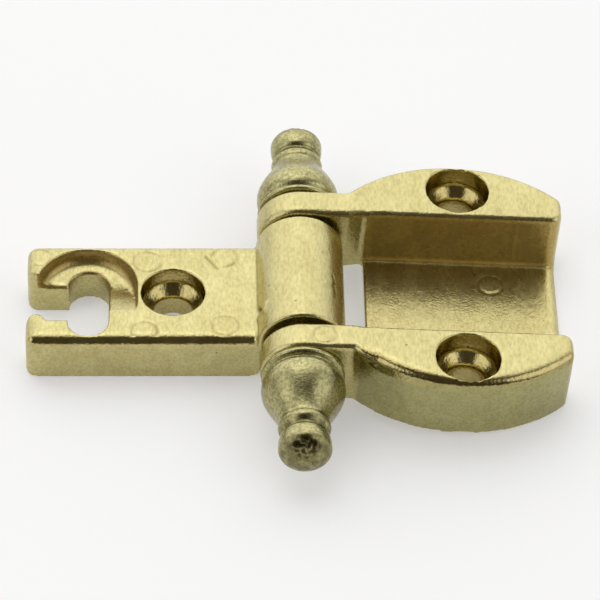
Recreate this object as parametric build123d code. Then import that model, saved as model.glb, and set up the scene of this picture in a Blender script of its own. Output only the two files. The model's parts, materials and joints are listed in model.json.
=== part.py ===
from build123d import *
import math
import os

# A cast brass cabinet hinge, in millimetres, laid out open and flat. The arm screws to the
# cabinet, the cup sits in a 35 mm boring in the door, and a pin with two turned finials joins them.
# The origin is the arm's screw hole on the arm's mounting face. +X runs along the arm towards the
# cup, +Z points away from the mounting face, and the hinge pin lies along Y.

# Hinge line
screw_to_pin = 14.5  # from the arm's screw hole to the pin axis
pin_height = 5.3  # pin axis above the arm's mounting face
pin_diameter = 4.0
pin_grip = 4.0  # length of pin held in each finial
pin_chamfer = 0.4
running_clearance = 0.05  # between the pin and the knuckle's bore, on the radius

# Knuckle of the arm and the two ears of the cup
knuckle_diameter = 10.0
knuckle_length = 16.0
knuckle_play = 1.2  # free gap at each end of the knuckle
knuckle_rim = 0.3  # rounding of the knuckle's circular rims
ear_thickness = 3.3

# Arm plate
arm_width = 15.3
arm_thickness = 5.9
arm_tail = 16.65  # from the screw hole to the hooked end
arm_corner = 1.3
arm_edge = 1.0
heel_setback = 4.5  # from the pin axis back to the plate's square heel
heel_round = 1.3

# Hook: a slot across the arm, open to the arm's end through a throat
hook_from_screw = 9.6
slot_width = 4.6
slot_front = 6.8  # from the arm's centre line to the slot's round front end
slot_back = 5.05
throat_front = 4.4
throat_back = 2.75
jaw_round = 1.5  # on the back jaw at the mouth
nub_radius = 1.1  # rounded catch at the mouth of the throat
nub_rise = 1.0

# Arched recess round the slot for a screw's head, with a ramp that leads down to its floor
recess_from_screw = 9.75
recess_width = 11.4
recess_back = 6.85
recess_depth = 1.95
ramp_front = 3.05  # in front of the centre line, where the ramp starts at the arm's face
ramp_back = 2.4  # behind it, where the ramp meets the floor
ramp_blend = 6.0  # radius where the ramp runs out into the floor
recess_foot = 1.3  # radius where the arched wall meets the floor

# Countersunk screw holes
head_diameter = 7.2
shank_diameter = 4.6
arm_head_depth = 1.9
cup_head_depth = 2.5
cup_screw_inset = 4.0  # from the disc's rim in to a screw hole's centre

# Cup: a disc with a channel cut through it, into which the arm folds
cup_diameter = 34.8
cup_stretch = 0.6  # the disc's two round halves stand this far apart
cup_draft = 2.0  # degrees, on the disc's round wall
cup_from_pin = 18.1  # from the pin axis to the screws and the far half's centre
cup_face = 4.85  # height of the disc's face above the pin axis
cup_base = 3.65  # depth of its underside below the pin axis
cup_edge = 0.7
cup_outer_corner = 1.3
cup_inner_corner = 1.3
channel_step = 0.2  # each channel wall stands this far inside its ear's inner face
channel_fillet = 0.5
wing_end = 3.6  # width of each wing's face at the disc's squared-off end
floor_thickness = 0.95
floor_from_pin = 7.6  # from the pin axis to the floor's edge, clear of the knuckle
floor_corner = 0.6

# Turned finial: diameters, and distances out from the ear's face
collar_diameter = 9.4
collar_thickness = 0.5
collar_groove_diameter = 8.4
collar_groove_width = 0.5
bulb_shoulder_diameter = 9.0
bulb_diameter = 9.76
bulb_from_ear = 2.4
waist_diameter = 8.5
waist_from_ear = 4.7
neck_diameter = 5.8
neck_from_ear = 7.3
ring_diameter = 6.4
ring_width = 1.2
ball_diameter = 6.0
ball_groove_depth = 0.5
ball_from_ear = 10.8

# Worked out from the sizes above
pin_radius = pin_diameter / 2
knuckle_radius = knuckle_diameter / 2
ear_radius = cup_face
ear_inner = knuckle_length / 2 + knuckle_play
ear_outer = ear_inner + ear_thickness
channel_half = ear_inner - channel_step
cup_depth = cup_face + cup_base
cup_end_from_pin = cup_from_pin + math.sqrt((cup_diameter / 2) ** 2 - (channel_half + wing_end) ** 2)
floor_top = floor_thickness - cup_base
pin_line = Pos(screw_to_pin, 0, pin_height)

past = 1.0  # how far a cutter runs past the face it opens
near = 0.01  # how close an edge lies to a place when it is picked there


def screw_hole(head_depth, depth):
    """Cutter for a countersunk hole that opens upwards at its origin."""
    head = head_diameter / 2
    shank = shank_diameter / 2
    cone_foot = -head_depth - (head - shank)
    outline = Polyline(
        (0, past),
        (head, past),
        (head, -head_depth),
        (shank, cone_foot),
        (shank, -depth - past),
        (0, -depth - past),
        close=True,
    )
    return revolve(Plane.XZ * make_face(outline), Axis.Z)


def arm_leaf():
    heel = screw_to_pin - heel_setback
    plate = Pos((heel - arm_tail) / 2, 0) * Rectangle(heel + arm_tail, arm_width)
    plate = fillet(plate.vertices().group_by(Axis.X)[0], arm_corner)
    plate = extrude(plate, arm_thickness)
    plate = fillet(plate.edges().filter_by(Axis.Y).group_by(Axis.X)[-1].sort_by(Axis.Z)[0], heel_round)
    face_edges = plate.faces().sort_by(Axis.Z)[-1].edges()
    plate = fillet(face_edges.filter_by(lambda edge: edge.center().X < heel - near), arm_edge)

    knuckle = Cylinder(knuckle_radius, knuckle_length)
    knuckle = fillet(knuckle.edges().filter_by(GeomType.CIRCLE), knuckle_rim)
    leaf = plate + pin_line * Rot(90, 0, 0) * knuckle
    leaf -= pin_line * Rot(90, 0, 0) * Cylinder(pin_radius + running_clearance, knuckle_length + 2 * past)
    leaf -= Pos(0, 0, arm_thickness) * screw_hole(arm_head_depth, arm_thickness)
    return leaf - Pos(-hook_from_screw, 0, 0) * hook_opening() - Pos(-recess_from_screw, 0, 0) * recess()


def hook_opening():
    """Cutter for the slot and its throat, about the slot's centre line."""
    slot = Pos(0, (slot_back - slot_front) / 2) * Rot(0, 0, 90) * SlotOverall(slot_front + slot_back, slot_width)
    mouth = arm_tail - hook_from_screw
    throat = Pos(-mouth / 2, (throat_back - throat_front) / 2) * Rectangle(mouth, throat_front + throat_back)
    nub = Pos(nub_radius - mouth, nub_rise - nub_radius - throat_front) * Circle(nub_radius)
    jaw = Pos(jaw_round / 2 - mouth, throat_back + jaw_round / 2) * Rectangle(jaw_round, jaw_round)
    jaw -= Pos(jaw_round - mouth, throat_back + jaw_round) * Circle(jaw_round)
    return extrude(slot + throat - nub + jaw, 2 * arm_thickness, both=True)


def recess():
    """Cutter for the arched recess, about its own centre line."""
    arch_radius = recess_width / 2
    arch_centre = recess_back - arch_radius
    run = arch_centre + ramp_front
    arch = Pos(0, arch_centre) * Circle(arch_radius)
    arch += Pos(0, arch_centre - run / 2) * Rectangle(recess_width, run)
    floor = arm_thickness - recess_depth
    above = arm_thickness + past
    hollow = Pos(0, 0, floor) * extrude(arch, above - floor)
    foot = hollow.edges().group_by(Axis.Z)[0]
    hollow = fillet(foot.filter_by(lambda edge: edge.center().Y > near - ramp_front), recess_foot)
    ramp_foot = (ramp_back, floor)
    side = Polyline(
        (-ramp_front, above),
        (-ramp_front, arm_thickness),
        ramp_foot,
        (recess_back, floor),
        (recess_back, above),
        close=True,
    )
    side = make_face(side)
    side = fillet(side.vertices().sort_by_distance((*ramp_foot, 0))[0], ramp_blend)
    return hollow & extrude(Plane.YZ * side, recess_width, both=True)


def cup_body():
    """The cup with its face level, about the pin axis."""
    middle = Pos(0, 0, cup_face - cup_depth / 2)
    outline = Pos(cup_from_pin - cup_stretch / 2, 0) * SlotCenterToCenter(cup_stretch, cup_diameter)
    disc = Pos(0, 0, cup_depth / 2) * extrude(outline, cup_depth, dir=(0, 0, -1), taper=cup_draft)
    squared = Pos(cup_end_from_pin / 2, 0, 0) * Box(cup_end_from_pin, cup_diameter, cup_depth)
    link_length = floor_from_pin + floor_corner
    links = Pos(link_length / 2, 0, 0) * Box(link_length, 2 * ear_outer, cup_depth)
    ears = Rot(90, 0, 0) * Cylinder(ear_radius, 2 * ear_outer)
    body = middle * ((disc & squared) + links) + ears

    window = Pos(floor_from_pin - cup_diameter / 2, 0) * Rectangle(cup_diameter, 2 * ear_inner)
    window = fillet(window.vertices().group_by(Axis.X)[-1], floor_corner)
    window = extrude(window, 2 * cup_depth, both=True)
    from_floor = (Align.CENTER, Align.CENTER, Align.MIN)
    channel = Pos(cup_from_pin, 0, floor_top) * Box(2 * cup_diameter, 2 * channel_half, cup_depth, align=from_floor)
    body -= window + channel

    end = (cup_end_from_pin - near, cup_end_from_pin + near)
    end_edges = body.edges().filter_by_position(Axis.X, *end).group_by(Axis.Y)
    body = fillet([end_edges[0].sort_by(Axis.Z)[0], end_edges[-1].sort_by(Axis.Z)[0]], cup_outer_corner)
    channel_foot = body.edges().filter_by(Axis.X).filter_by_position(Axis.Z, floor_top - near, floor_top + near)
    body = fillet(channel_foot, channel_fillet)
    inner_corners = body.edges().filter_by(Axis.Z).filter_by_position(Axis.X, *end)
    body = fillet(inner_corners, cup_inner_corner)
    face_edges = body.faces().filter_by(Axis.Z).group_by(Axis.Z)[-1].edges()
    face_edges = face_edges.filter_by(lambda edge: edge.center().X > near)
    ear_rims = body.edges().filter_by(GeomType.CIRCLE)
    ear_rims = ear_rims.filter_by(lambda edge: math.isclose(edge.radius, ear_radius) and edge.center().X < 0)
    body = fillet(face_edges + ear_rims, cup_edge)

    body -= Rot(90, 0, 0) * Cylinder(pin_radius, cup_diameter)
    for side in (-1, 1):
        place = Pos(cup_from_pin, side * (cup_diameter / 2 - cup_screw_inset), cup_face)
        body -= place * screw_hole(cup_head_depth, cup_depth)
    return body


def hinge_pin():
    length = 2 * (ear_outer + pin_grip)
    pin = Cylinder(pin_radius, length)
    return chamfer(pin.edges().filter_by(GeomType.CIRCLE), pin_chamfer)


def finial():
    """One finial, turned about Z, with its collar at the origin and its ball upwards."""
    groove = collar_thickness + collar_groove_width
    ring_end = neck_from_ear + ring_width
    ball_radius = ball_diameter / 2
    groove_radius = ball_radius - ball_groove_depth
    ball_start = ball_from_ear - math.sqrt(ball_radius**2 - groove_radius**2)
    outline = Polyline(
        (0, 0),
        (collar_diameter / 2, 0),
        (collar_diameter / 2, collar_thickness),
        (collar_groove_diameter / 2, collar_thickness),
        (collar_groove_diameter / 2, groove),
        (bulb_shoulder_diameter / 2, groove),
    )
    outline += Spline(
        (bulb_shoulder_diameter / 2, groove),
        (bulb_diameter / 2, bulb_from_ear),
        (waist_diameter / 2, waist_from_ear),
        (neck_diameter / 2, neck_from_ear),
    )
    outline += ThreePointArc(
        (neck_diameter / 2, neck_from_ear),
        (ring_diameter / 2, neck_from_ear + ring_width / 2),
        (neck_diameter / 2, ring_end),
    )
    outline += Polyline((neck_diameter / 2, ring_end), (groove_radius, ring_end), (groove_radius, ball_start))
    ball_side = (ball_radius * math.sqrt(0.5), ball_from_ear + ball_radius * math.sqrt(0.5))
    outline += ThreePointArc((groove_radius, ball_start), ball_side, (0, ball_from_ear + ball_radius))
    outline += Line((0, ball_from_ear + ball_radius), (0, 0))
    turned = revolve(Plane.XZ * make_face(outline), Axis.Z)
    return turned - Cylinder(pin_radius, pin_grip, align=(Align.CENTER, Align.CENTER, Align.MIN))


def rest_sag():
    """How far the cup's free end drops below level when its lower edge meets the arm's plane."""
    reach = math.hypot(cup_end_from_pin, cup_base)
    return math.degrees(math.asin(pin_height / reach) - math.atan2(cup_base, cup_end_from_pin))


nodes = {
    "arm_leaf": arm_leaf(),
    "cup_body": pin_line * Rot(0, rest_sag(), 0) * cup_body(),
    "hinge_pin": pin_line * Rot(90, 0, 0) * hinge_pin(),
    "front_finial": pin_line * Pos(0, -ear_outer, 0) * Rot(90, 0, 0) * finial(),
    "rear_finial": pin_line * Pos(0, ear_outer, 0) * Rot(-90, 0, 0) * finial(),
}

os.makedirs("parts", exist_ok=True)
for name, solid in nodes.items():
    export_step(solid, f"parts/{name}.step")
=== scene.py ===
import json
import math

import bmesh
import bpy
import numpy as np
from mathutils import Matrix, Vector, noise


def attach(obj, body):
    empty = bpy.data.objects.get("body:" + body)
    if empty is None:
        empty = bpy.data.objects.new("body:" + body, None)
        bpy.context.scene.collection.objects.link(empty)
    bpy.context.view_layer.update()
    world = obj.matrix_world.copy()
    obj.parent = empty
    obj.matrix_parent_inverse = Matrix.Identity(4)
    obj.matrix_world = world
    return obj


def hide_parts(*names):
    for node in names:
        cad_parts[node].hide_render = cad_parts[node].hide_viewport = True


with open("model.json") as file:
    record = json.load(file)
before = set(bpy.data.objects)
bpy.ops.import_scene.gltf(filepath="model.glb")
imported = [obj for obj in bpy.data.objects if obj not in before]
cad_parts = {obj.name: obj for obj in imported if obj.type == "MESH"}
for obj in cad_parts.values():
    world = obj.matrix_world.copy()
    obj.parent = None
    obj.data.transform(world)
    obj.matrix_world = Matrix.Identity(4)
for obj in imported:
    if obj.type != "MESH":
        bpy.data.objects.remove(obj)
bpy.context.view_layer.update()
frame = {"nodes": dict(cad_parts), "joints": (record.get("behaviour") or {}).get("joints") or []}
swing = frame["joints"][0]
pin_line = Vector(swing["pos_m"])

# The arm: one brass casting, the flat plate that screws to the cabinet with the knuckle that turns
# on the pin. It is pressure cast in a steel die and tumbled, so its edges are soft, its skin is
# grained like fine sandpaper, and the die's ejector pins have left shallow rings on its face.
mm = 0.001
same_spot = 0.001 * mm
arm_face = 5.9 * mm
arm_half = 7.65 * mm
arm_tail = 16.65 * mm
plate_end = 9.4 * mm
arm_skin = 0.17 * mm
skin_wave = 0.012 * mm
skin_wave_size = 1.1 * mm
worn_edge = 1.35 * mm
worn_share = 0.85
rim_depth = 2.2 * mm
rim_reach = 2.6 * mm
rim_smoothing = 8
rim_shine, rim_shine_top = 0.6, 0.15 * mm
nearly_up, barely_up = 0.9, 0.1

# The screw hole's middle is where x and y are zero. Its cone is smoothed and left sleek.
seat_reach, seat_lip = 3.8 * mm, 0.7 * mm
cone_reach, cone_top = 3.7 * mm, 0.2 * mm

# The recess at the hook is dished, and its corner gets painted shade.
recess_middle = -9.75 * mm
recess_half = 5.75 * mm
recess_front = -2.6 * mm
recess_top = 0.1 * mm
recess_deep = 2.1 * mm
dish_top = 0.25 * mm
dish_smoothing = 40
slot_end = (-9.6 * mm, 1.3 * mm)
slot_half = 2.3 * mm
slot_lip = 0.3 * mm

# A ring is its middle's x and y and its radius, in mm. A scratch is a path of points, its width
# and its depth, in mm too, and one with a depth below zero stands out of the skin.
arm_rings = [(-2.9, 4.9, 1.6), (-3.2, -6.2, 1.5), (5.9, -5.3, 1.5), (-15.2, 5.6, 1.3), (5.9, 5.6, 1.5)]
ring_sink = 0.09 * mm
ring_groove = 0.15 * mm
ring_waver = 0.12 * mm
ring_level = 0.3 * mm
face_scratch = [(3.8, 5.7, 5.9), (4.4, 4.7, 5.9), (5.1, 3.8, 5.9)]
rim_dent = [(-15.9, 2.9, 5.9), (-15.7, 2.5, 5.9)]
knuckle_burr = [(9.65, -3.6, 6.5), (9.85, -4.4, 7.1)]
burr_lip = [(9.6, -4.6, 6.3), (10.2, -4.9, 7.9), (10.4, -4.1, 8.2)]
knuckle_score = [(18.1, -0.3, 8.8), (18.3, -1.1, 8.6), (18.2, -1.8, 8.7)]
knuckle_score += [(18.4, -2.7, 8.5), (18.3, -3.5, 8.6)]
scratches = [(face_scratch, 0.16, 0.14), (rim_dent, 0.3, 0.14), (knuckle_burr, 0.4, 0.35)]
scratches += [(burr_lip, 0.35, -0.15), (knuckle_score, 0.2, 0.04)]
# How strong the dirt in rings and scratches is, and the painted shade in the recess's corner.
ring_dirt, scratch_dirt, corner_shade = 0.55, 0.85, 0.6


def casting(node, spacing):
    """A fine, even skin over a cast piece's solid, its edges softened as tumbling does."""
    skin = frame["nodes"][node].data.copy()
    shape = bmesh.new()
    shape.from_mesh(skin)
    bmesh.ops.remove_doubles(shape, verts=shape.verts, dist=same_spot)
    shape.to_mesh(skin)
    shape.free()
    piece = bpy.data.objects.new(node + "_casting", skin)
    bpy.context.scene.collection.objects.link(piece)
    remesh = piece.modifiers.new("skin", "REMESH")
    remesh.mode = "VOXEL"
    remesh.voxel_size = spacing
    remesh.use_smooth_shade = True
    soften = piece.modifiers.new("tumbled", "SMOOTH")
    soften.factor = 0.5
    soften.iterations = 3
    graph = bpy.context.evaluated_depsgraph_get()
    piece.data = bpy.data.meshes.new_from_object(piece.evaluated_get(graph))
    piece.data.name = piece.name
    piece.data.materials.clear()
    piece.modifiers.clear()
    return piece


def worn(inset, depth, radius):
    """How far in and how far down the skin goes where tumbling has rounded an outer edge."""
    across, down = radius - inset, radius - depth
    out = np.maximum(np.hypot(across, down), 0.1 * mm)
    pull = (across > 0) * (down > 0) * np.clip(1 - radius / out, 0, 1) * worn_share
    return across * pull, down * pull


def smooth_out(piece, where, rounds):
    """Smooths the part of a skin that where picks."""
    band = piece.vertex_groups.new(name="worn")
    band.add([int(spot) for spot in np.flatnonzero(where)], 1.0, "REPLACE")
    wear = piece.modifiers.new("wear", "SMOOTH")
    wear.vertex_group = "worn"
    wear.factor = 0.5
    wear.iterations = rounds
    graph = bpy.context.evaluated_depsgraph_get()
    piece.data = bpy.data.meshes.new_from_object(piece.evaluated_get(graph))
    piece.modifiers.clear()
    piece.vertex_groups.clear()


def points(piece):
    """Where the vertices of a piece lie, and which way its skin faces there."""
    count = len(piece.data.vertices)
    place = np.zeros(3 * count)
    facing = np.zeros(3 * count)
    piece.data.vertices.foreach_get("co", place)
    piece.data.vertices.foreach_get("normal", facing)
    return place.reshape(-1, 3), facing.reshape(-1, 3)


def waves(place, size):
    """The slight, slow unevenness of cast metal, from -1 to 1."""
    return np.array([noise.noise(Vector(p) / size) for p in place])


def move(piece, place):
    """Puts the vertices of a piece at new places."""
    piece.data.vertices.foreach_set("co", place.ravel())
    piece.data.update()


def mark(piece, name, amount):
    """Notes on a skin how much of something each spot has, from 0 to 1: shaded_hollow is painted
    shade on the walls of the arm's recess and on the walls and floor of the cup's channel, where the
    skin is also made less metallic, dirt_and_shade is dirt in a ring or a scratch and painted shade
    in the recess's corner, sleek is where a drill or wear has left the skin smoother, shaded_wall is
    painted shade on the cup's outer wall, and pits_and_shade is the pits in a finial's end, darkened,
    with painted shade in its groove and over its ball's end."""
    note = piece.data.attributes.new(name, "FLOAT", "POINT")
    note.data.foreach_set("value", np.clip(amount, 0, 1))


def noted(nodes, name):
    """What mark has noted under a name, for a material."""
    note = nodes.new("ShaderNodeAttribute")
    note.attribute_name = name
    return note.outputs["Fac"]


def ramped(nodes, links, value, low, high):
    """A colour that follows a value. Low and high each have a value and the colour there."""
    ramp = nodes.new("ShaderNodeValToRGB")
    for stop, (position, colour) in zip(ramp.color_ramp.elements, (low, high)):
        stop.position = position
        stop.color = colour
    links.new(value, ramp.inputs["Fac"])
    return ramp.outputs["Color"]


def multiplied(nodes, links, colour):
    """A mix that multiplies a colour by the one its B is given."""
    mix = nodes.new("ShaderNodeMix")
    mix.data_type = "RGBA"
    mix.blend_type = "MULTIPLY"
    mix.inputs["Factor"].default_value = 1.0
    links.new(colour, mix.inputs["A"])
    return mix


def tinted(nodes, links, colour, name, tint):
    """A colour with a tint over it, as strong as what is noted under a name."""
    mix = multiplied(nodes, links, colour)
    mix.inputs["B"].default_value = tint
    links.new(noted(nodes, name), mix.inputs["Factor"])
    return mix.outputs["Result"]


def cast_brass():
    """Pale, slightly green brass, satin from tumbling and grained by the die."""
    brass = bpy.data.materials.new("cast_brass")
    brass.use_nodes = True
    nodes, links = brass.node_tree.nodes, brass.node_tree.links
    metal = nodes["Principled BSDF"]
    here = nodes.new("ShaderNodeTexCoord")

    # The colour is clouded and speckled, tinted by the notes on the skin, several of which are painted
    # shade, and has small dark flecks.
    drawn = nodes.new("ShaderNodeMapping")
    drawn.inputs["Scale"].default_value = (1.0, 0.4, 1.0)
    cloud = nodes.new("ShaderNodeTexNoise")
    cloud.inputs["Scale"].default_value = 420
    cloud.inputs["Detail"].default_value = 6
    cloud.inputs["Roughness"].default_value = 0.65
    speckle = nodes.new("ShaderNodeTexNoise")
    speckle.inputs["Scale"].default_value = 3200
    speckle.inputs["Detail"].default_value = 3
    flaws = nodes.new("ShaderNodeTexVoronoi")
    flaws.inputs["Scale"].default_value = 360
    fleck = nodes.new("ShaderNodeMapRange")
    fleck.inputs["From Min"].default_value = 0.03
    fleck.inputs["From Max"].default_value = 0.07
    fleck.inputs["To Min"].default_value = 0.45
    links.new(here.outputs["Object"], drawn.inputs["Vector"])
    links.new(drawn.outputs["Vector"], cloud.inputs["Vector"])
    links.new(drawn.outputs["Vector"], speckle.inputs["Vector"])
    links.new(here.outputs["Object"], flaws.inputs["Vector"])
    links.new(flaws.outputs["Distance"], fleck.inputs["Value"])
    clouded = ramped(
        nodes,
        links,
        cloud.outputs["Fac"],
        (0.3, (0.48, 0.418, 0.18, 1)),
        (0.68, (0.59, 0.53, 0.25, 1)),
    )
    speckled = ramped(
        nodes,
        links,
        speckle.outputs["Fac"],
        (0.32, (0.83, 0.82, 0.8, 1)),
        (0.6, (1.03, 1.03, 1.04, 1)),
    )
    mottled = multiplied(nodes, links, clouded)
    links.new(speckled, mottled.inputs["B"])
    # Painted shade, browner, on the walls of the arm's recess and the cup's channel.
    colour = tinted(nodes, links, mottled.outputs["Result"], "shaded_hollow", (0.96, 0.8, 0.52, 1))
    # Dirt in rings and scratches, and painted shade in the recess's corner.
    colour = tinted(nodes, links, colour, "dirt_and_shade", (0.45, 0.38, 0.25, 1))
    colour = tinted(nodes, links, colour, "sleek", (0.97, 0.92, 0.86, 1))
    # Painted shade, greyer, on the cup's outer wall.
    colour = tinted(nodes, links, colour, "shaded_wall", (0.72, 0.75, 0.74, 1))
    flecked = multiplied(nodes, links, colour)
    links.new(fleck.outputs["Result"], flecked.inputs["B"])
    links.new(flecked.outputs["Result"], metal.inputs["Base Color"])

    # Where the walls of a hollow get painted shade the skin is also less metallic, and a sleek spot is
    # glossier.
    film = nodes.new("ShaderNodeMath")
    film.operation = "MULTIPLY_ADD"
    film.inputs[1].default_value = -0.4
    film.inputs[2].default_value = 1.0
    gloss = nodes.new("ShaderNodeMapRange")
    gloss.inputs["To Min"].default_value = 0.18
    gloss.inputs["To Max"].default_value = 0.36
    smoother = nodes.new("ShaderNodeMath")
    smoother.operation = "MULTIPLY_ADD"
    smoother.inputs[1].default_value = -0.13
    links.new(noted(nodes, "shaded_hollow"), film.inputs[0])
    links.new(film.outputs["Value"], metal.inputs["Metallic"])
    links.new(cloud.outputs["Fac"], gloss.inputs["Value"])
    links.new(noted(nodes, "sleek"), smoother.inputs[0])
    links.new(gloss.outputs["Result"], smoother.inputs[2])
    links.new(smoother.outputs["Value"], metal.inputs["Roughness"])

    # The grain is a fine roughness with pores in it.
    grain = nodes.new("ShaderNodeTexNoise")
    grain.inputs["Scale"].default_value = 3000
    grain.inputs["Detail"].default_value = 4
    pores = nodes.new("ShaderNodeTexVoronoi")
    pores.inputs["Scale"].default_value = 1500
    pit = nodes.new("ShaderNodeMapRange")
    pit.inputs["From Min"].default_value = 0.0
    pit.inputs["From Max"].default_value = 0.22
    skin = nodes.new("ShaderNodeMath")
    skin.operation = "MULTIPLY_ADD"
    skin.inputs[1].default_value = 0.35
    bump = nodes.new("ShaderNodeBump")
    bump.inputs["Strength"].default_value = 1.0
    bump.inputs["Distance"].default_value = 0.032 * mm
    links.new(here.outputs["Object"], grain.inputs["Vector"])
    links.new(here.outputs["Object"], pores.inputs["Vector"])
    links.new(pores.outputs["Distance"], pit.inputs["Value"])
    links.new(pit.outputs["Result"], skin.inputs[0])
    links.new(grain.outputs["Fac"], skin.inputs[2])
    links.new(skin.outputs["Value"], bump.inputs["Height"])
    links.new(bump.outputs["Normal"], metal.inputs["Normal"])
    return brass


def groove(place, path, width):
    """How near each spot lies to a scratch drawn through the points of a path, from 0 to 1."""
    nearest = np.full(len(place), np.inf)
    for start, end in zip(path, path[1:]):
        start, run = np.array(start) * mm, (np.array(end) - np.array(start)) * mm
        share = np.clip((place - start) @ run / (run @ run), 0, 1)
        nearest = np.minimum(nearest, np.linalg.norm(place - start - share[:, None] * run, axis=1))
    return np.exp(-((nearest / width) ** 2))


arm = casting("arm_leaf", arm_skin)
place, facing = points(arm)
on_plate = (place[:, 0] < plate_end) & (place[:, 1] < 0)
inward, down = worn(arm_half - abs(place[:, 1]), arm_face - place[:, 2], worn_edge)
place[:, 1] += inward * on_plate
place[:, 2] -= down * on_plate
inward, down = worn(place[:, 0] + arm_tail, arm_face - place[:, 2], worn_edge)
place[:, 0] += inward
place[:, 2] -= down
move(arm, place)
below = arm_face - place[:, 2]
at_rim = on_plate & (below < rim_depth) & (below + arm_half + place[:, 1] < rim_reach)
in_seat = (np.hypot(place[:, 0], place[:, 1]) < seat_reach) & (below > seat_lip)
smooth_out(arm, at_rim | in_seat, rim_smoothing)
place, facing = points(arm)
below = arm_face - place[:, 2]
in_recess = (abs(place[:, 0] - recess_middle) < recess_half) & (place[:, 1] > recess_front)
in_recess &= (below > recess_top) & (below < recess_deep) & (facing[:, 1] < 0.3)
from_slot = np.hypot(place[:, 0] - slot_end[0], np.maximum(place[:, 1] - slot_end[1], 0)) - slot_half
smooth_out(arm, in_recess & (below > dish_top) & (from_slot > slot_lip), dish_smoothing)
place, facing = points(arm)
uneven = waves(place, skin_wave_size)
patchy = np.clip(0.75 + 1.2 * uneven, 0.2, 1.5)
on_face = (abs(place[:, 2] - arm_face) < ring_level) & (facing[:, 2] > nearly_up)
ringed = np.zeros(len(place))
for x, y, radius in arm_rings:
    out = np.hypot(place[:, 0] - x * mm, place[:, 1] - y * mm) + ring_waver * uneven - radius * mm
    ringed += np.exp(-((out / ring_groove) ** 2)) * patchy
ringed *= on_face
lift = skin_wave * (uneven - 1) - ring_sink * ringed
scratched = np.zeros(len(place))
for path, width, sink in scratches:
    score = groove(place, path, width * mm)
    scratched += score * (sink > 0)
    lift -= sink * mm * score
move(arm, place + facing * lift[:, None])
# The recess's corner gets painted shade, added to the dirt in the rings and scratches.
in_corner = in_recess * np.clip((0.97 - facing[:, 2]) * 3, 0, 1)
mark(arm, "dirt_and_shade", ring_dirt * ringed + scratch_dirt * scratched + corner_shade * in_corner)
# Painted shade on the recess's walls, which are also made less metallic.
mark(arm, "shaded_hollow", in_recess * np.clip((0.99 - facing[:, 2]) * 2.5, 0, 1))
in_seat = (np.hypot(place[:, 0], place[:, 1]) < cone_reach) & (below > cone_top)
at_rim = (arm_half + place[:, 1] + below < rim_depth) & (below > rim_shine_top)
mark(arm, "sleek", in_seat + rim_shine * (at_rim & (facing[:, 2] > barely_up)))
arm.data.materials.append(cast_brass())
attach(arm, "arm")
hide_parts("arm_leaf")

# The cup: the other casting. Two round-backed wings with a thin floor between them sit in the
# door's boring, and two ears reach out to hold the pin. The die parted near its far end, which left
# a low ridge up its walls, and ejector pins left a ring on the floor and one on the front ear.
cup_skin = 0.2 * mm
cup_sag = math.radians(3.1529)
cup_face = 4.85 * mm
cup_radius = 17.4 * mm
cup_screw_out = 13.4 * mm
cup_cone_top = 0.25 * mm
disc_middle = 18.1 * mm
disc_start, disc_fade = 6.2 * mm, 1.6 * mm
disc_edge = 1.4 * mm
disc_shine_top, disc_shine_foot = 0.1 * mm, 1.7 * mm
disc_overhang = 0.5 * mm
outer_wall = 1.2 * mm
ear_inner, ear_deep = 9.2 * mm, 1.6 * mm
ear_pad = 0.45 * mm
ear_slack = 0.3 * mm
ear_end, ear_fade = 8.4 * mm, 3.0 * mm
parting = 24.8 * mm
parting_height = 0.08 * mm
parting_width = 0.16 * mm
parting_foot = 1.0 * mm
parting_fade = 1.8 * mm
floor_level = -2.7 * mm
floor_slack = 0.2 * mm
channel_half, channel_slack = 9.0 * mm, 0.45 * mm
channel_start = 7.4 * mm
channel_lip = 4.4 * mm

# A ring here also has its height, and all four are in mm from the pin's line.
cup_rings = [(22.3, 5.6, 1.4, -2.7), (2.2, -10.7, 1.3, 4.85)]
cup_ring_dirt = 0.4


def from_disc_rim(flat):
    """How far inside the disc's outline each spot lies."""
    return cup_radius - np.hypot(flat[:, 0] - disc_middle, flat[:, 1])


def from_cup_screw(flat):
    """How far each spot lies from the middle of the nearer screw hole."""
    return np.hypot(flat[:, 0] - disc_middle, abs(flat[:, 1]) - cup_screw_out)


cup = casting("cup_body", cup_skin)
place, facing = points(cup)
level = Matrix.Rotation(-cup_sag, 3, "Y")
flat = (place - np.array(pin_line)) @ np.array(level).T
inset = from_disc_rim(flat)
out_way = (flat[:, :2] - (disc_middle, 0)) / np.hypot(flat[:, 0] - disc_middle, flat[:, 1])[:, None]
on_disc = np.clip((flat[:, 0] - disc_start) / disc_fade, 0, 1) * (flat[:, 1] < 0)
inward, down = worn(inset, cup_face - flat[:, 2], disc_edge)
flat[:, :2] -= out_way * (inward * on_disc)[:, None]
flat[:, 2] -= down * on_disc
move(cup, flat @ np.array(level) + np.array(pin_line))
below = cup_face - flat[:, 2]
at_rim = (on_disc > 0) & (below < rim_depth) & (below + inset < rim_reach)
in_seat = (from_cup_screw(flat) < seat_reach) & (below > seat_lip)
smooth_out(cup, at_rim | in_seat, rim_smoothing)
place, facing = points(cup)
flat = (place - np.array(pin_line)) @ np.array(level).T
at_ear = np.clip((ear_end - flat[:, 0]) / ear_fade, 0, 1)
inward = np.clip((ear_inner + ear_deep - abs(flat[:, 1])) / ear_deep, 0, 1)
inward *= abs(flat[:, 1]) > ear_inner - ear_slack
pad = np.sign(flat[:, 1]) * ear_pad * at_ear * inward
place[:, 1] -= pad
flat[:, 1] -= pad
below = cup_face - flat[:, 2]
lift = skin_wave * (waves(place, skin_wave_size) - 1)
ridge = np.exp(-(((flat[:, 0] - parting) / parting_width) ** 2)) * (flat[:, 2] > floor_level + parting_foot)
lift += parting_height * ridge * np.clip(below / parting_fade, 0.15, 1)
ringed = np.zeros(len(place))
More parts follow.
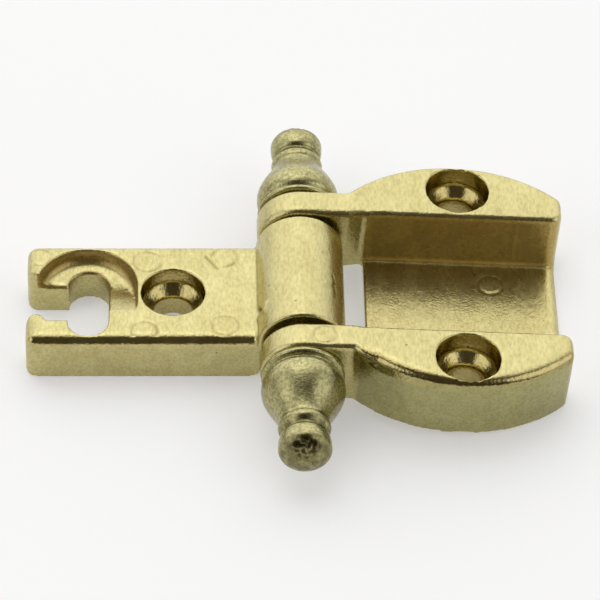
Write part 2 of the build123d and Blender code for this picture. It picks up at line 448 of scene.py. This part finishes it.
for x, y, radius, height in cup_rings:
    out = np.hypot(flat[:, 0] - x * mm, flat[:, 1] - y * mm) - radius * mm
    on_level = (abs(flat[:, 2] - height * mm) < ring_level) & (facing[:, 2] > nearly_up)
    ringed += on_level * np.exp(-((out / ring_groove) ** 2))
lift -= ring_sink * ringed
move(cup, place + facing * lift[:, None])
in_channel = (abs(flat[:, 1]) < channel_half + channel_slack) & (flat[:, 0] > channel_start)
in_channel &= (flat[:, 2] > floor_level - floor_slack) & (flat[:, 2] < channel_lip)
# Painted shade on the channel's walls and, more faintly, on its floor.
mark(cup, "shaded_hollow", in_channel * np.clip(abs(facing[:, 1]) + 0.12, 0, 1))
mark(cup, "dirt_and_shade", cup_ring_dirt * ringed)
inset = from_disc_rim(flat)
from_hole = from_cup_screw(flat)
in_seat = (from_hole < cone_reach) & (below > cup_cone_top)
at_rim = (inset + below < rim_depth) & (inset > -disc_overhang) & (flat[:, 0] > disc_start)
at_rim &= (below > disc_shine_top) & (below < disc_shine_foot) & (facing[:, 2] > barely_up)
mark(cup, "sleek", 1.0 * (in_seat | at_rim))
# Painted shade on the cup's outer wall, fading where the wall turns up.
on_wall = (abs(inset) < outer_wall) & (flat[:, 0] > disc_start) & (from_hole > cone_reach)
mark(cup, "shaded_wall", on_wall * np.clip((0.75 - abs(facing[:, 2])) * 3, 0, 1))
cup.data.materials.append(arm.data.materials[0])
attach(cup, "cup")
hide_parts("cup_body")

# The pin: drawn brass rod, pressed into both ears and both finials. Only narrow rings of it show,
# in the gaps between the knuckle and the ears and in the gap at the rear finial.
drawn_brass = bpy.data.materials.new("drawn_brass")
drawn_brass.use_nodes = True
nodes, links = drawn_brass.node_tree.nodes, drawn_brass.node_tree.links
metal = nodes["Principled BSDF"]
metal.inputs["Metallic"].default_value = 1.0
metal.inputs["Roughness"].default_value = 0.3
here = nodes.new("ShaderNodeTexCoord")
cloud = nodes.new("ShaderNodeTexNoise")
cloud.inputs["Scale"].default_value = 2500
links.new(here.outputs["Object"], cloud.inputs["Vector"])
clouded = ramped(nodes, links, cloud.outputs["Fac"], (0, (0.62, 0.52, 0.2, 1)), (1, (0.82, 0.72, 0.3, 1)))
links.new(clouded, metal.inputs["Base Color"])
pin = frame["nodes"]["hinge_pin"]
pin.data.materials.clear()
pin.data.materials.append(drawn_brass)

# The finials: two alike, turned from brass rod with a collar, a bulb, a neck ring and a ball, then
# tumbled with the castings. Each is pressed on one end of the pin, the rear one just short of its ear.
ear_outer = 12.5 * mm
rear_gap = 0.4 * mm
turning_steps = 96
ball_steps = 16

# The outline's points are how far out from the ear and how far from the pin's line, in mm.
bore = [(0, 2.0)]
collar = [(0, 4.5), (0.1, 4.63), (0.3, 4.7), (0.5, 4.67), (0.66, 4.52), (0.74, 4.2)]
collar += [(0.82, 4.08), (0.95, 4.08)]
bulb = [(1.1, 4.15), (1.22, 4.35), (1.45, 4.52), (1.95, 4.68), (2.5, 4.74), (3.0, 4.72)]
bulb += [(3.5, 4.6), (4.0, 4.42)]
neck = [(4.5, 4.2), (5.0, 3.95), (5.6, 3.62), (6.2, 3.31), (6.8, 3.04), (7.3, 2.86), (7.65, 2.78)]
neck += [(7.75, 2.84), (7.95, 2.92), (8.3, 2.97), (8.6, 2.9), (8.8, 2.75), (9.0, 2.57), (9.25, 2.45)]
ball_back = [(9.5, 2.45), (9.58, 2.6), (9.72, 2.74), (10.0, 2.86), (10.5, 2.95), (11.0, 2.99)]
ball_at, ball_radius, ball_end = 11.4, 3.0, 1.75
groove_at, groove_width = 9.1, 0.42
# How strong the painted shade is in the groove before the ball and over the ball's end, and how big its
# patches are.
groove_shade, tip_shade, shade_patch = 0.75, 0.6, 0.9 * mm
pit_from_ear, pit_height, pit_radius = 12.7, 1.7, 1.7
pit_sink, pit_grain = 0.09 * mm, 0.4 * mm


def turned_finial(name, side, seat):
    """A finial turned round the pin's line, at that side and that far from the hinge's middle."""
    tip = []
    for step in range(ball_steps + 1):
        angle = math.pi / 2 * step / ball_steps
        tip.append((ball_at + ball_end * math.sin(angle), ball_radius * math.cos(angle)))
    shape = bmesh.new()
    rim = []
    for along, radius in bore + collar + bulb + neck + ball_back + tip:
        spot = pin_line + Vector((0, side * (seat + along * mm), max(radius, 0) * mm))
        rim.append(shape.verts.new(spot))
    edges = [shape.edges.new(pair) for pair in zip(rim, rim[1:])]
    bmesh.ops.spin(
        shape,
        geom=rim + edges,
        cent=pin_line,
        axis=(0, 1, 0),
        angle=2 * math.pi,
        steps=turning_steps,
        use_merge=True,
    )
    bmesh.ops.remove_doubles(shape, verts=shape.verts, dist=same_spot)
    bmesh.ops.holes_fill(shape, edges=[e for e in shape.edges if e.is_boundary])
    bmesh.ops.recalc_face_normals(shape, faces=shape.faces)
    skin = bpy.data.meshes.new(name)
    shape.to_mesh(skin)
    shape.free()
    skin.shade_smooth()
    piece = bpy.data.objects.new(name, skin)
    bpy.context.scene.collection.objects.link(piece)
    return piece


tumbled_brass = bpy.data.materials.new("tumbled_brass")
tumbled_brass.use_nodes = True
nodes, links = tumbled_brass.node_tree.nodes, tumbled_brass.node_tree.links
metal = nodes["Principled BSDF"]
metal.inputs["Metallic"].default_value = 1.0
here = nodes.new("ShaderNodeTexCoord")
knocks = nodes.new("ShaderNodeTexNoise")
knocks.inputs["Scale"].default_value = 2600
knocks.inputs["Detail"].default_value = 6
knocks.inputs["Roughness"].default_value = 0.65
gloss = nodes.new("ShaderNodeMapRange")
gloss.inputs["To Min"].default_value = 0.34
gloss.inputs["To Max"].default_value = 0.18
bump = nodes.new("ShaderNodeBump")
bump.inputs["Strength"].default_value = 0.7
bump.inputs["Distance"].default_value = 0.05 * mm
links.new(here.outputs["Object"], knocks.inputs["Vector"])
knocked = ramped(
    nodes,
    links,
    knocks.outputs["Fac"],
    (0.3, (0.21, 0.19, 0.085, 1)),
    (0.7, (0.54, 0.495, 0.24, 1)),
)
# Darkens the pits, and paints shade in the groove and over the ball's end.
shaded_finial = tinted(nodes, links, knocked, "pits_and_shade", (0.16, 0.14, 0.1, 1))
links.new(shaded_finial, metal.inputs["Base Color"])
links.new(knocks.outputs["Fac"], gloss.inputs["Value"])
links.new(gloss.outputs["Result"], metal.inputs["Roughness"])
links.new(knocks.outputs["Fac"], bump.inputs["Height"])
links.new(bump.outputs["Normal"], metal.inputs["Normal"])

for name, side, seat in (("front_finial", -1, ear_outer), ("rear_finial", 1, ear_outer + rear_gap)):
    finial = turned_finial(name + "_turned", side, seat)
    place, facing = points(finial)
    pit = pin_line + Vector((0, side * (seat + pit_from_ear * mm), pit_height * mm))
    from_pit = np.linalg.norm(place - np.array(pit), axis=1) / (pit_radius * mm)
    rough = np.clip((1 - from_pit) * 4, 0, 1) * np.clip(waves(place, pit_grain) * 3 + 0.6, 0, 1)
    move(finial, place - facing * (pit_sink * rough)[:, None])
    out = (side * (place[:, 1] - pin_line.y) - seat) / mm
    # Painted shade over the ball's end and in the groove before it, in patches.
    finial_shade = tip_shade * np.clip(out - ball_at + 0.2, 0, 1)
    finial_shade += groove_shade * np.exp(-(((out - groove_at) / groove_width) ** 2))
    mark(finial, "pits_and_shade", np.maximum(rough, finial_shade * np.clip(0.8 + waves(place, shade_patch), 0, 1)))
    finial.data.materials.append(tumbled_brass)
    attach(finial, "cup")
    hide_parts(name)

# The table: plain pale card that the hinge lies on. It glows a little where the camera or the brass
# sees it, so that it looks as pale as in the photograph and still keeps the hinge's shadow.
table_half = 4.0
table_glow = 0.36
table_mesh = bpy.data.meshes.new("table")
shape = bmesh.new()
bmesh.ops.create_grid(shape, x_segments=1, y_segments=1, size=table_half)
shape.to_mesh(table_mesh)
shape.free()
table = bpy.data.objects.new("table", table_mesh)
bpy.context.scene.collection.objects.link(table)
card = bpy.data.materials.new("pale_card")
card.use_nodes = True
nodes, links = card.node_tree.nodes, card.node_tree.links
paper = nodes["Principled BSDF"]
paper.inputs["Base Color"].default_value = (0.64, 0.64, 0.64, 1)
paper.inputs["Roughness"].default_value = 0.9
paper.inputs["Specular IOR Level"].default_value = 0.0
paper.inputs["Emission Color"].default_value = (1.0, 1.0, 1.0, 1)
ray = nodes.new("ShaderNodeLightPath")
eye_or_metal = nodes.new("ShaderNodeMath")
eye_or_metal.operation = "MAXIMUM"
or_glass = nodes.new("ShaderNodeMath")
or_glass.operation = "MAXIMUM"
paleness = nodes.new("ShaderNodeMath")
paleness.operation = "MULTIPLY"
paleness.inputs[1].default_value = table_glow
links.new(ray.outputs["Is Camera Ray"], eye_or_metal.inputs[0])
links.new(ray.outputs["Is Glossy Ray"], eye_or_metal.inputs[1])
links.new(eye_or_metal.outputs["Value"], or_glass.inputs[0])
links.new(ray.outputs["Is Transmission Ray"], or_glass.inputs[1])
links.new(or_glass.outputs["Value"], paleness.inputs[0])
links.new(paleness.outputs["Value"], paper.inputs["Emission Strength"])
table.data.materials.append(card)

# The light: a plain white room with one big soft window behind the hinge and a smaller one at each
# side, darker and warmer behind the camera, and a soft lamp overhead.
window_way = (-0.1, 0.76, 0.64)
side_way = (0.8, -0.33, 0.5)
room = bpy.data.worlds.new("room")
bpy.context.scene.world = room
room.use_nodes = True
nodes, links = room.node_tree.nodes, room.node_tree.links
sky = nodes["Background"]
way = nodes.new("ShaderNodeTexCoord")
parts = nodes.new("ShaderNodeSeparateXYZ")
links.new(way.outputs["Generated"], parts.inputs["Vector"])
either_side = nodes.new("ShaderNodeMath")
either_side.operation = "ABSOLUTE"
links.new(parts.outputs["X"], either_side.inputs[0])
folded = nodes.new("ShaderNodeCombineXYZ")
links.new(either_side.outputs["Value"], folded.inputs["X"])
links.new(parts.outputs["Y"], folded.inputs["Y"])
links.new(parts.outputs["Z"], folded.inputs["Z"])


def glow(value, start, end, low, high):
    """A soft step in the room's brightness, from low at start to high at end."""
    step = nodes.new("ShaderNodeMapRange")
    step.interpolation_type = "SMOOTHSTEP"
    step.inputs["From Min"].default_value = start
    step.inputs["From Max"].default_value = end
    step.inputs["To Min"].default_value = low
    step.inputs["To Max"].default_value = high
    links.new(value, step.inputs["Value"])
    return step.outputs["Result"]


def towards(vector, aim):
    """How nearly a direction points at a window's middle."""
    dot = nodes.new("ShaderNodeVectorMath")
    dot.operation = "DOT_PRODUCT"
    dot.inputs[1].default_value = Vector(aim).normalized()
    links.new(vector, dot.inputs[0])
    return dot.outputs["Value"]


def plus(first, second):
    """The sum of two values."""
    total = nodes.new("ShaderNodeMath")
    total.operation = "ADD"
    links.new(first, total.inputs[0])
    links.new(second, total.inputs[1])
    return total.outputs["Value"]


walls = glow(parts.outputs["Y"], start=-0.2, end=0.6, low=0.08, high=0.88)
window = glow(towards(way.outputs["Generated"], window_way), start=0.4, end=0.92, low=0.0, high=0.62)
side_window = glow(towards(folded.outputs["Vector"], side_way), start=0.84, end=0.95, low=0.0, high=1.2)
brightness = plus(plus(walls, window), side_window)
tone = nodes.new("ShaderNodeMix")
tone.data_type = "RGBA"
tone.inputs["A"].default_value = (1.0, 0.86, 0.6, 1)
tone.inputs["B"].default_value = (1.0, 1.0, 1.0, 1)
links.new(glow(brightness, start=0.08, end=0.5, low=0.0, high=1.0), tone.inputs["Factor"])
links.new(tone.outputs["Result"], sky.inputs["Color"])
links.new(brightness, sky.inputs["Strength"])

lamp_from_pin = (-0.08, 0.12, 0.48)
lamp_data = bpy.data.lights.new("soft_lamp", "AREA")
lamp_data.shape = "SQUARE"
lamp_data.size = 0.35
lamp_data.energy = 0.25
lamp = bpy.data.objects.new("soft_lamp", lamp_data)
lamp.location = pin_line + Vector(lamp_from_pin)
lamp.rotation_euler = (pin_line - lamp.location).to_track_quat("-Z", "Y").to_euler()
bpy.context.scene.collection.objects.link(lamp)

# The camera: a long lens from 45 degrees above the front, as the photograph was taken. It looks
# just beside the pin's middle, and leans a little.
elevation = math.radians(45.18)
yaw = math.radians(2.507)
roll = math.radians(1.771)
distance = 0.49066
off_centre = (0.058 * mm, 0.507 * mm)
lens_pixels = 4311.2
image_pixels = 600
camera_data = bpy.data.cameras.new("camera")
camera_data.sensor_width = 36
camera_data.lens = camera_data.sensor_width * lens_pixels / image_pixels
camera = bpy.data.objects.new("camera", camera_data)
turn = Matrix.Rotation(-yaw, 4, "Z") @ Matrix.Rotation(math.pi / 2 - elevation, 4, "X")
turn = turn @ Matrix.Rotation(roll, 4, "Z")
back = Matrix.Translation((-off_centre[0], -off_centre[1], distance))
camera.matrix_world = Matrix.Translation(pin_line) @ turn @ back
bpy.context.scene.collection.objects.link(camera)
bpy.context.scene.camera = camera
bpy.context.scene.view_settings.view_transform = "Standard"
